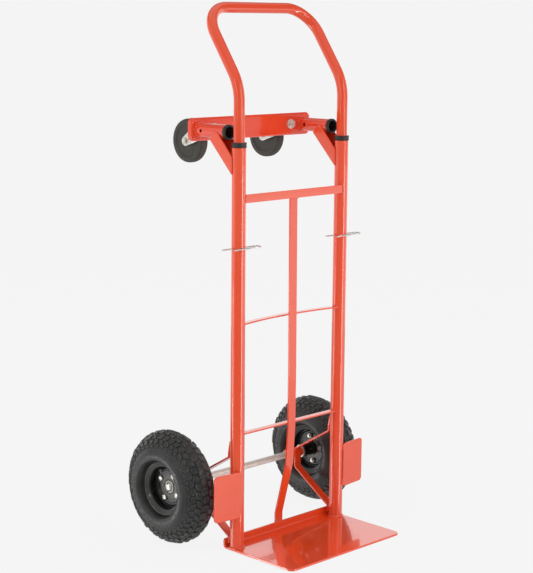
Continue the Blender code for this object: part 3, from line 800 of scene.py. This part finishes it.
def gusset(label, side):
    """Folded channel from the socket's underside down to the upright."""
    x = side * UPRIGHT_X
    wing = [Vector(p) for p in ((76, 926), (5, 852), (5, 892), (50, 941), (62, 941))]
    obj = prism("brace_" + label, wing, "X", x - 18.8, x + 18.8)
    soften(obj, 2.0)
    along = (wing[0] - wing[1]).normalized()
    normal = Vector((-along.y, along.x))
    low = wing[1] + normal * 2.5 - along * 40
    high = wing[0] + normal * 2.5 + along * 40
    trough = [low, high, high + normal * 90, low + normal * 90]
    cutters = [prism("cutter", trough, "X", x - 16.3, x + 16.3)]
    cutters.append(rod_cutter(Vector((x, 0, 880)), Z_AXIS, 16.3, 120, 64))
    cutters.append(rod_cutter(Vector((x, 60, SOCKET_Z)), Y_AXIS, 16.3, 90, 64))
    carve(obj, *cutters)
    soften(obj, 0.35, 2)
    painted(obj, "gusset_" + label)
    for off, seed in ((-16.6, 110), (16.6, 114)):
        bead([(x + off, 4.8, 855), (x + off, 4.8, 889)], 1.7, seed + side)
        bead([(x + off, 51, 941.4), (x + off, 62, 941.4)], 1.5, seed + 8 + side)
    bead([(x + dx, 16.2 - abs(dx) * 0.12, 864) for dx in (-9, 0, 9)], 1.8, 126 + side)


# -------------------- handle and clips

def handle():
    """One bent tube: legs, a knee that leans it rearward, and a rounded loop; slots in the feet."""
    top_y = (HANDLE_TOP - HANDLE_KNEE) * tan(HANDLE_LEAN)
    x = UPRIGHT_X
    foot = Vector((-x, 0, HANDLE_FOOT))
    knee = Vector((-x, 0, HANDLE_KNEE))
    corner = Vector((-x, top_y, HANDLE_TOP))
    lower = fillet([foot, knee, corner], 110, 16, closed=False)
    upper = fillet([lower[-2], corner, Vector((0, top_y, HANDLE_TOP))], 70, 18, closed=False)
    left = [foot, Vector((-x, 0, 800)), Vector((-x, 0, 920))] + lower[1:-1] + upper[1:-1]
    path = left + [Vector((-p.x, p.y, p.z)) for p in left[::-1]]
    obj = tube("handle_loop", path, HANDLE_R, HANDLE_BORE, 48)
    cutters = []
    for _, side in SIDES:
        leg = side * x
        outline = [(-SLOT_HALF_W, HANDLE_FOOT - 12), (SLOT_HALF_W, HANDLE_FOOT - 12)]
        for i in range(13):
            t = radians(180 * i / 12)
            outline.append((SLOT_HALF_W * cos(t), PIN_Z + 0.2 + SLOT_HALF_W * sin(t)))
        cutters.append(prism("cutter", outline, "X", leg - 20, leg + 20))
    carve(obj, *cutters)
    dress(obj, "handle", "handle_paint", HANDLE_PAINT, "handle")


def clips():
    """Bent-wire clips: straight leg through the tube, an eye, and a spring leg across its front."""
    for label, side in SIDES:
        points = [(-50, 0), (-34, 0), (-16, 0), (8, 0), (30, 0)]
        for i in range(11):
            t = radians(110 - 23.5 * i)
            points.append((47 + 9 * cos(t), -8.5 + 9 * sin(t)))
        points += [(35, -14.6), (27, -14.4), (20, -16.8), (14, -18.3), (0, -18.3), (-12, -18.3)]
        points += [(-22, -20.2), (-35, -23.5)]
        path = spline([Vector((side * UPRIGHT_X + a, b, PIN_Z)) for a, b in points], 4)
        obj = raw("wire_clip_" + label, *rod_parts(path, WIRE_R))
        zinced(obj, "pin_" + label, "spring_pin_" + label, mat=WIRE)


# -------------------- wheels

def tyre_outline():
    """Closed (radius, offset) section of the balloon tyre's carcass, under the tread blocks."""
    half = [(51.2, 8.6), (51.2, 18.4), (55, 20), (61.2, 22.2), (61.9, 25.4), (62.7, 31), (64.4, 37)]
    half += [(67, 41.2), (70, 43.7), *FLANK[::-1]]
    inner = [(121.8, 3), (117, 12), (108, 20), (98, 28), (86, 33.6), (76, 35), (68, 30), (59, 12)]
    right = [Vector(p) for p in half]
    left = [Vector((p.x, -p.y)) for p in right[::-1]]
    inside = [Vector(p) for p in inner]
    outside = right + [Vector((127.3, 0))] + left
    lining = [Vector((p.x, -p.y)) for p in inside[::-1]] + inside
    return outside + lining


def tread_block(centre, theta, radius, offset, lean, size, skew, height, outward):
    """One rubber block standing on the carcass; lean is the surface's slope across the tread."""
    radial = spoke(theta)
    forward = Z_AXIS * cos(theta) - Y_AXIS * sin(theta)
    normal = radial * cos(lean) + outward * sin(lean)
    across = outward * cos(lean) - radial * sin(lean)
    base = centre + radial * radius + outward * offset
    long, wide = size
    shape = [(-1, -0.7), (-0.7, -1), (0.7, -1), (1, -0.7), (1, 0.7), (0.7, 1), (-0.7, 1), (-1, 0.7)]
    rings = []
    top = ((height - 0.8, 1.0), (height, 0.86), (height - 0.7, 0.6))
    for level, grow in ((-2.4, 1.14), (0.0, 1.08), *top):
        points = []
        for a, b in shape:
            along = a * long / 2 * grow + b * skew
            points.append(base + forward * along + across * (b * wide / 2 * grow) + normal * level)
        rings.append(points)
    return skin(rings)


def flank(radius):
    """Carcass half-width at a radius and how far its surface leans off the tread's."""
    for (r0, u0), (r1, u1) in zip(FLANK, FLANK[1:]):
        if radius >= r1:
            return u0 + (u1 - u0) * (r0 - radius) / (r0 - r1), atan2(r0 - r1, u1 - u0)
    return FLANK[-1][1], pi / 2


def tyre(label, side, centre, outward):
    """Pneumatic tyre: balloon carcass with moulding nibs and rows of rounded blocks."""
    outline = fillet(tyre_outline(), 2.6, 2)
    parts = [skin([ring(centre + outward * p.y, outward, p.x, 128) for p in outline], wrap=True)]
    rng = random.Random(7 + side)
    rows = ((125.6, (13.4, 12.4), 1.6, 3.9, 0.0), (118.4, (13.6, 12.2), -1.8, 3.9, 0.5))
    rows += ((109.4, (12.6, 10.8), 1.6, 3.3, 0.0), (100.4, (10.4, 7.4), -1.2, 2.3, 0.5))
    for sign in (1, -1):
        for radius, size, skew, height, phase in rows:
            for k in range(BLOCKS_PER_ROW):
                step = k + phase + (0 if sign > 0 else 0.5)
                theta = 2 * pi * step / BLOCKS_PER_ROW + rng.uniform(-0.012, 0.012)
                at = radius + rng.uniform(-0.7, 0.7)
                offset, lean = flank(at)
                jitter = rng.uniform(0.86, 1.08)
                grown = (size[0] * jitter, size[1] * (1.08 if k % 2 else 0.94) * jitter)
                spot = (centre, theta, at, sign * offset, sign * lean)
                tall = height * rng.uniform(0.85, 1.15)
                parts.append(tread_block(*spot, grown, skew * sign, tall, outward))
        for _ in range(NIBS):
            theta = rng.uniform(0, 2 * pi)
            radius = rng.uniform(74, 94)
            offset = flank(radius)[0]
            at = centre + spoke(theta) * radius + outward * sign * (offset - 0.4)
            wide = rng.uniform(0.8, 1.5)
            nib = [(wide, 0), (wide * 0.85, 1.1), (wide * 0.3, 1.5)]
            parts.append(stack_parts(nib, at, outward * sign, 8))
    obj = raw("tyre_tread_" + label, *join_parts(parts))
    dress(obj, "wheel_" + label, "tyre_rubber", TYRE, "tyre_" + label, sharp=40)


def bolt_spots(label, centre):
    """Where the four rim bolts cross the wheel's middle plane."""
    angles = [radians(BOLT_START[label] + 90 * k) for k in range(4)]
    return [centre + spoke(t) * BOLT_CIRCLE for t in angles]


def rims(label, centre, outward):
    """Two pressed rim halves with rolled flanges, bolt holes and pressed ribs, and their lips in enamel
    with painted highlight.
    """
    path = [(17.4, 3.3), (37.4, 3.3), (39.2, 4.6), (42, 4.6), (44.4, 1.9), (48, 2.2), (49.4, 6)]
    path += [(49.4, 20.4), (52, 21.6), (59.4, 24.2), (60.8, 25.6)]
    edge = [(59.6, 25.2), (59.8, 26.6), (60.7, 27.1), (61.5, 26.4), (61.4, 25.2), (60.4, 24.7)]
    for half, sign in (("outer", 1), ("inner", -1)):
        section = bent_sheet(path, 2.2, 4, RIM_SHEET_T)
        axis = outward * sign
        rings = [ring(centre + axis * p.y, axis, p.x, 96) for p in section]
        obj = raw("rim_" + half + "_half_" + label, *skin(rings, wrap=True))
        carve(obj, *[rod_cutter(spot, X_AXIS, 3.8, 12, 24) for spot in bolt_spots(label, centre)])
        dress(obj, "wheel_" + label, "rim_paint", ENAMEL, "rim_" + half + "_" + label, sharp=50)
        rings = [ring(centre + axis * u, axis, r, 96) for r, u in edge]
        obj = raw("rim_lip_" + half + "_" + label, *skin(rings, wrap=True))
        # The lip's enamel carries painted highlight.
        dress(obj, "wheel_" + label, "rim_paint", LIP_PAINTED_HIGHLIGHT)


def hub(label, centre, outward):
    """Hub tube with a bearing seal let into each end."""
    inner = WASHER_IN + 3.3
    outer = HUB_END
    profile = [(HUB_BORE, inner), (11, inner), (11.4, inner + 1.2), (14.2, inner + 1.2), (14.6, inner)]
    profile += [(17, inner), (17, inner + 4), (16.2, inner + 5), (16.2, -9), (17.2, -6), (17.2, outer)]
    profile += [(14.4, outer), (14, outer - 1.2), (11.2, outer - 1.2), (10.8, outer), (HUB_BORE, outer)]
    obj = lathe("hub_tube_" + label, profile, centre, outward, 64, 0.5)
    dress(obj, "wheel_" + label, "rim_paint", ENAMEL, "hub_" + label)


def rim_bolts(label, centre, outward):
    """Four hexagon bolts with nuts, each thread's end showing behind its nut."""
    for k, spot in enumerate(bolt_spots(label, centre)):
        thread = [(2.9, -13.4), (3.5, -12.7)]
        thread += [(3.5 - 0.35 * (i % 2), -12.4 + 0.4 * i) for i in range(7)]
        body = thread + [(3.5, -9.9), (5.6, -9.9, True), (6.4, -9.1, True), (6.4, -4.8, True)]
        body += [(3.5, -4.8), (3.5, 4.6), (6.4, 4.6, True), (6.4, 7.8, True)]
        body += [(5.5, 8.7, True), (4.0, 8.7), (3.4, 7.9)]
        obj = raw("wheel_bolt_" + label + "_" + str(k + 1), *stack_parts(body, spot, outward))
        zinced(obj, "wheel_" + label, "rim_bolt_" + label + "_" + str(k + 1), sharp=28)


def thrust_washer(label, centre, outward):
    """Washer between the sleeve and the hub."""
    low = WASHER_IN
    profile = [(HUB_BORE, low), (15, low), (15, low + 3), (HUB_BORE, low + 3)]
    obj = lathe("thrust_washer_" + label, profile, centre, outward, 48, 0.5)
    zinced(obj, "frame", "axle_washer_" + label)


def hub_cap(label, outward):
    """Domed push-on cap over the axle's end, with a dimple and five dents."""
    low = WHEEL_X + HUB_END + 0.3
    dome = [(13.8, 0), (14.2, 0.5), (14.2, 1.6), (13.6, 2.4), (12.4, 2.6), (11.7, 3.4), (10.9, 5.2)]
    dome += [(9.2, 6.6), (6.4, 7.4), (3, 7.8)]
    profile = [(HUB_BORE, 244.3), (HUB_BORE, low)]
    profile += [(r, low + h) for r, h in dome]
    obj = raw("hub_cap_" + label, *stack_parts(profile, AXLE, outward, 48))
    cutters = [rod_cutter(AXLE + outward * (low + 7.8), outward, 2.2, 1.4)]
    for k in range(5):
        t = radians(20 + 72 * k)
        spot = AXLE + spoke(t) * 7.2 + outward * (low + 7)
        cutters.append(rod_cutter(spot, outward, 1.9, 1.5))
    carve(obj, *cutters)
    zinced(obj, "frame", "axle_cap_" + label)


def valve(label, centre, outward):
    """Tyre valve with its cap, leaning outward through the rim."""
    radial = spoke(radians(76))
    root = centre + radial * 46.8 + outward * 5
    lean = (outward - radial * 0.35).normalized()
    stem = [(5.4, -1.5), (5.4, 1), (4.2, 2.2), (3.6, 9), (3.2, 9.4)]
    stem += [(3.2, 11.5), (3.9, 11.7), (3.9, 18), (3.2, 19.2)]
    obj = raw("valve_" + label, *stack_parts(stem, root, lean, 20))
    dress(obj, "wheel_" + label, "black_plastic", PLASTIC)


def wheels():
    """Both air-tyred wheels."""
    for label, side in SIDES:
        centre = Vector((side * WHEEL_X, AXLE.y, AXLE.z))
        outward = X_AXIS * side
        tyre(label, side, centre, outward)
        rims(label, centre, outward)
        hub(label, centre, outward)
        rim_bolts(label, centre, outward)
        thrust_washer(label, centre, outward)
        hub_cap(label, outward)
        valve(label, centre, outward)


# -------------------- castors

def swivel_race(label, pivot):
    """Race behind the plate, on which the fork turns."""
    profile = [(5.3, 128.3), (18, 128.3), (18, 134.5), (19.4, 136), (20, 137.6), (20, 141), (5.3, 141)]
    obj = lathe("swivel_race_" + label, profile, pivot, Y_AXIS, 64, 0.8)
    zinced(obj, "frame", "castor_race_" + label)


def kingpin(label, pivot):
    """Kingpin through plate, race and crown, and its hexagon nut on the plate's front."""
    head = FORK_CROWN + 2.8
    thread = [(5 - 0.4 * (i % 2), 114.3 + 0.4 * i) for i in range(5)]
    pin = [(3.8, 113), (5, 114), *thread, (5, 116.6), (5, head), (7, head)]
    pin += [(7, head + 1.2), (5, head + 1.8)]
    obj = raw("king_bolt_" + label, *stack_parts(pin, pivot, Y_AXIS))
    zinced(obj, "frame", "kingpin_" + label)
    nut = [(5.3, 116.2), (7.4, 116), (9.6, 117, True), (9.8, 118, True), (9.8, 122.5, True)]
    nut += [(11.2, 122.7), (11.6, 123.2), (11.6, 124.7), (5.3, 124.7)]
    rings = [ring(pivot + Y_AXIS * a, Y_AXIS, r, 36, *six) for r, a, *six in nut]
    obj = raw("king_bolt_nut_" + label, *skin(rings, wrap=True))
    zinced(obj, "frame", "king_nut_" + label, sharp=28)


def fork(label, pivot, hub):
    """Pressed fork: crown behind the race, cheeks swept down to rounded ends at the wheel bolt."""
    outline = [Vector((FORK_CROWN, 964)), Vector((FORK_CROWN, 921))]
    for i in range(13):
        t = radians(245 + 150 * i / 12)
        outline.append(hub.yz + Vector((cos(t), sin(t))) * 12)
    outline += [Vector((172, 951)), Vector((156, 964))]
    obj = prism("fork_" + label, outline, "X", pivot.x - 16.3, pivot.x + 16.3)
    soften(obj, 2.2)
    slot = box_cutter((pivot.x - 13.5, FORK_CROWN + 2.5, 880), (pivot.x + 13.5, 240, 990))
    cutters = [slot, rod_cutter(Vector((pivot.x, FORK_CROWN, CASTOR_Z)), Y_AXIS, KINGPIN_BORE, 10)]
    cutters.append(rod_cutter(hub, X_AXIS, 4.3, 30))
    carve(obj, *cutters)
    soften(obj, 0.4, 2)
    zinced(obj, "castor_" + label, "castor_fork_" + label)


def castor_bolt(label, hub):
    """Wheel bolt and nut across the fork."""
    bolt = [(5.6, -21.4, True), (7, -20.4, True), (7, -17.6, True), (7.6, -17.6), (7.6, -16.6)]
    bolt += [(4, -16.6), (4, 16.6), (7.8, 16.6), (7.8, 17.8), (7.4, 17.8, True), (7.4, 21.2, True)]
    bolt += [(6.2, 22.2, True), (4, 22.2), (3.6, 24)]
    obj = raw("wheel_pin_" + label, *stack_parts(bolt, hub, X_AXIS))
    zinced(obj, "castor_" + label, "castor_bolt_" + label, sharp=28)


def castor_wheel(label, hub):
    """Solid rubber wheel with a stepped hub."""
    half = [(4.3, 13), (9.5, 13), (10.6, 12), (11.2, 9.6), (20, 8.2), (33, 8.4), (35.6, 9.2), (37.2, 10.6)]
    half += [(38.4, 11), (44, 11), (46.8, 10.5), (48.8, 8.8), (49.8, 6), (50, 3)]
    right = [Vector(p) for p in half]
    outline = right + [Vector((p.x, -p.y)) for p in right[::-1]]
    obj = lathe("roller_" + label, outline, hub, X_AXIS, 96, 0.9)
    dress(obj, "castor_roller_" + label, "castor_rubber", CASTOR_RUBBER, "castor_wheel_" + label)


def castor(label, side):
    """Swivel castor: race and kingpin on the frame, fork and bolt that swivel, wheel that turns."""
    pivot = Vector((side * CASTOR_X, 0, CASTOR_Z))
    hub = Vector((pivot.x, CASTOR_HUB.y, CASTOR_HUB.z))
    swivel_race(label, pivot)
    kingpin(label, pivot)
    fork(label, pivot, hub)
    castor_bolt(label, hub)
    castor_wheel(label, hub)


# -------------------- build

uprights()
crossbars()
center_bar()
toe_plate()
running_gear()
castor_plate()
sockets()
handle()
clips()
wheels()
for side_label, side_sign in SIDES:
    castor(side_label, side_sign)
welds = raw("weld_beads", *join_parts(weld_parts))
painted(welds, sharp=60)


# -------------------- studio

def glow(name, strength):
    """Even light-giving material."""
    mat, tree, _ = shader_graph(name)
    lamp = node(tree, "ShaderNodeEmission", Color=(1, 1, 1, 1), Strength=strength)
    tree.links.new(lamp.outputs[0], tree.nodes["Material Output"].inputs["Surface"])
    return mat


def card(name, azimuths, heights, distance, strength, seen_by):
    """Curved upright card, seen only by camera or by reflections; azimuth 0 is the camera's."""
    steps = 16
    points = []
    for h in heights:
        for i in range(steps + 1):
            t = radians(CAMERA_AZIMUTH + azimuths[0] + (azimuths[1] - azimuths[0]) * i / steps)
            points.append(Vector((cos(t) * distance, sin(t) * distance, h)))
    faces = [(i, i + 1, i + steps + 2, i + steps + 1) for i in range(steps)]
    obj = raw(name, points, faces)
    obj.data.materials.append(glow(name, strength))
    obj.visible_camera = seen_by == "camera"
    obj.visible_glossy = seen_by == "gloss"
    obj.visible_diffuse = False
    obj.visible_transmission = False
    obj.visible_shadow = False


def surround():
    """Even grey light from all round."""
    world = bpy.data.worlds.new("surround")
    world.use_nodes = True
    set_inputs(world.node_tree.nodes["Background"], Color=(0.62, 0.62, 0.62, 1), Strength=1.0)
    scene.world = world


def pale_floor():
    """Floor a little brighter than the backdrop that takes only faint shadows."""
    corners = ((-60000, -60000), (60000, -60000), (60000, 60000), (-60000, 60000))
    floor = raw("floor", [Vector((x, y, -0.4)) for x, y in corners], [(0, 1, 2, 3)])
    mat, tree, shader = shader_graph("pale_floor")
    lamp = node(tree, "ShaderNodeEmission", Color=(1, 1, 1, 1), Strength=BACKDROP * 1.02)
    blend = node(tree, "ShaderNodeMixShader", Fac=0.05)
    set_inputs(shader, Base_Color=(0.9, 0.9, 0.9, 1), Roughness=0.9)
    tree.links.new(lamp.outputs[0], blend.inputs[1])
    tree.links.new(shader.outputs[0], blend.inputs[2])
    tree.links.new(blend.outputs[0], tree.nodes["Material Output"].inputs["Surface"])
    floor.data.materials.append(mat)
    floor.visible_glossy = False


def cards():
    """Backdrop for the camera, and dark, pale and bright cards for the reflections only."""
    card("backdrop", (0, 360), (-200, 90000), 50000, BACKDROP, "camera")
    for name, azimuths, heights, distance, strength in (
        ("dark_front", (-57, 55), (-2500, 4200), 4600, 0.3),
        ("dark_upper", (55, 303), (700, 6000), 5200, 0.2),
        ("floor_left", (-104, -57), (-2500, 530), 3600, 1.0),
        ("floor_right", (66, 104), (-2500, -500), 3600, 0.96),
        ("wall_right", (66, 104), (-500, 520), 3600, 1.3),
        ("glow_left", (-104, -57), (530, 3600), 3600, 0.72),
        ("glow_right", (66, 87.6), (520, 3600), 3600, 0.36),
        ("strip_left", (-87.5, -81), (-2000, 60), 3400, 7.0),
        ("strip_right", (56, 65), (-2000, 540), 3400, 8.0),
        ("strip_upper", (56, 65), (540, 3000), 3400, 4.0),
        ("sweep_back", (112, 248), (-300, 2600), 4000, 1.12),
        ("tall_left", (-37, -34.5), (760, 2600), 3300, 10.0),
        ("tall_right", (36.5, 39), (760, 2600), 3300, 10.0),
    ):
        card(name, azimuths, heights, distance, strength, "gloss")


def soft_lights():
    """Area lights aimed at the truck's middle; places and sizes in metres."""
    for name, place, size, power in (
        ("box_left", (-3.0, 1.2, 1.9), (1.8, 2.6), 24),
        ("box_front", (1.2, -3.0, 1.7), (1.8, 2.6), 26),
        ("box_top", (-0.6, -0.2, 7.0), (4.4, 4.4), 44),
    ):
        light = bpy.data.lights.new(name, "AREA")
        light.shape = "RECTANGLE"
        light.size, light.size_y = size
        light.energy = power
        lamp = bpy.data.objects.new(name, light)
        lamp.location = place
        aim = Vector((0, 0, 0.6)) - Vector(place)
        lamp.rotation_euler = aim.to_track_quat("-Z", "Y").to_euler()
        lamp.visible_camera = False
        lamp.visible_glossy = False
        scene.collection.objects.link(lamp)


def camera():
    """Photograph's viewpoint: ahead and to the left of the load side, a little below the handle."""
    data = bpy.data.cameras.new("view")
    data.sensor_width = 36
    data.lens = CAMERA_LENS
    obj = bpy.data.objects.new("view", data)
    azimuth, tilt, roll = (radians(a) for a in CAMERA_TURN)
    right = Vector((cos(azimuth), -sin(azimuth), 0))
    level = Vector((sin(azimuth), cos(azimuth), 0))
    ahead = level * cos(tilt) - Z_AXIS * sin(tilt)
    up = right.cross(ahead)
    rolled = right * cos(roll) + up * sin(roll)
    up = up * cos(roll) - right * sin(roll)
    turn = Matrix((rolled, up, -ahead)).transposed().to_4x4()
    obj.matrix_world = Matrix.Translation(CAMERA_AT_METRES) @ turn
    scene.collection.objects.link(obj)
    scene.camera = obj


surround()
pale_floor()
cards()
soft_lights()
camera()
scene.view_settings.view_transform = "Standard"
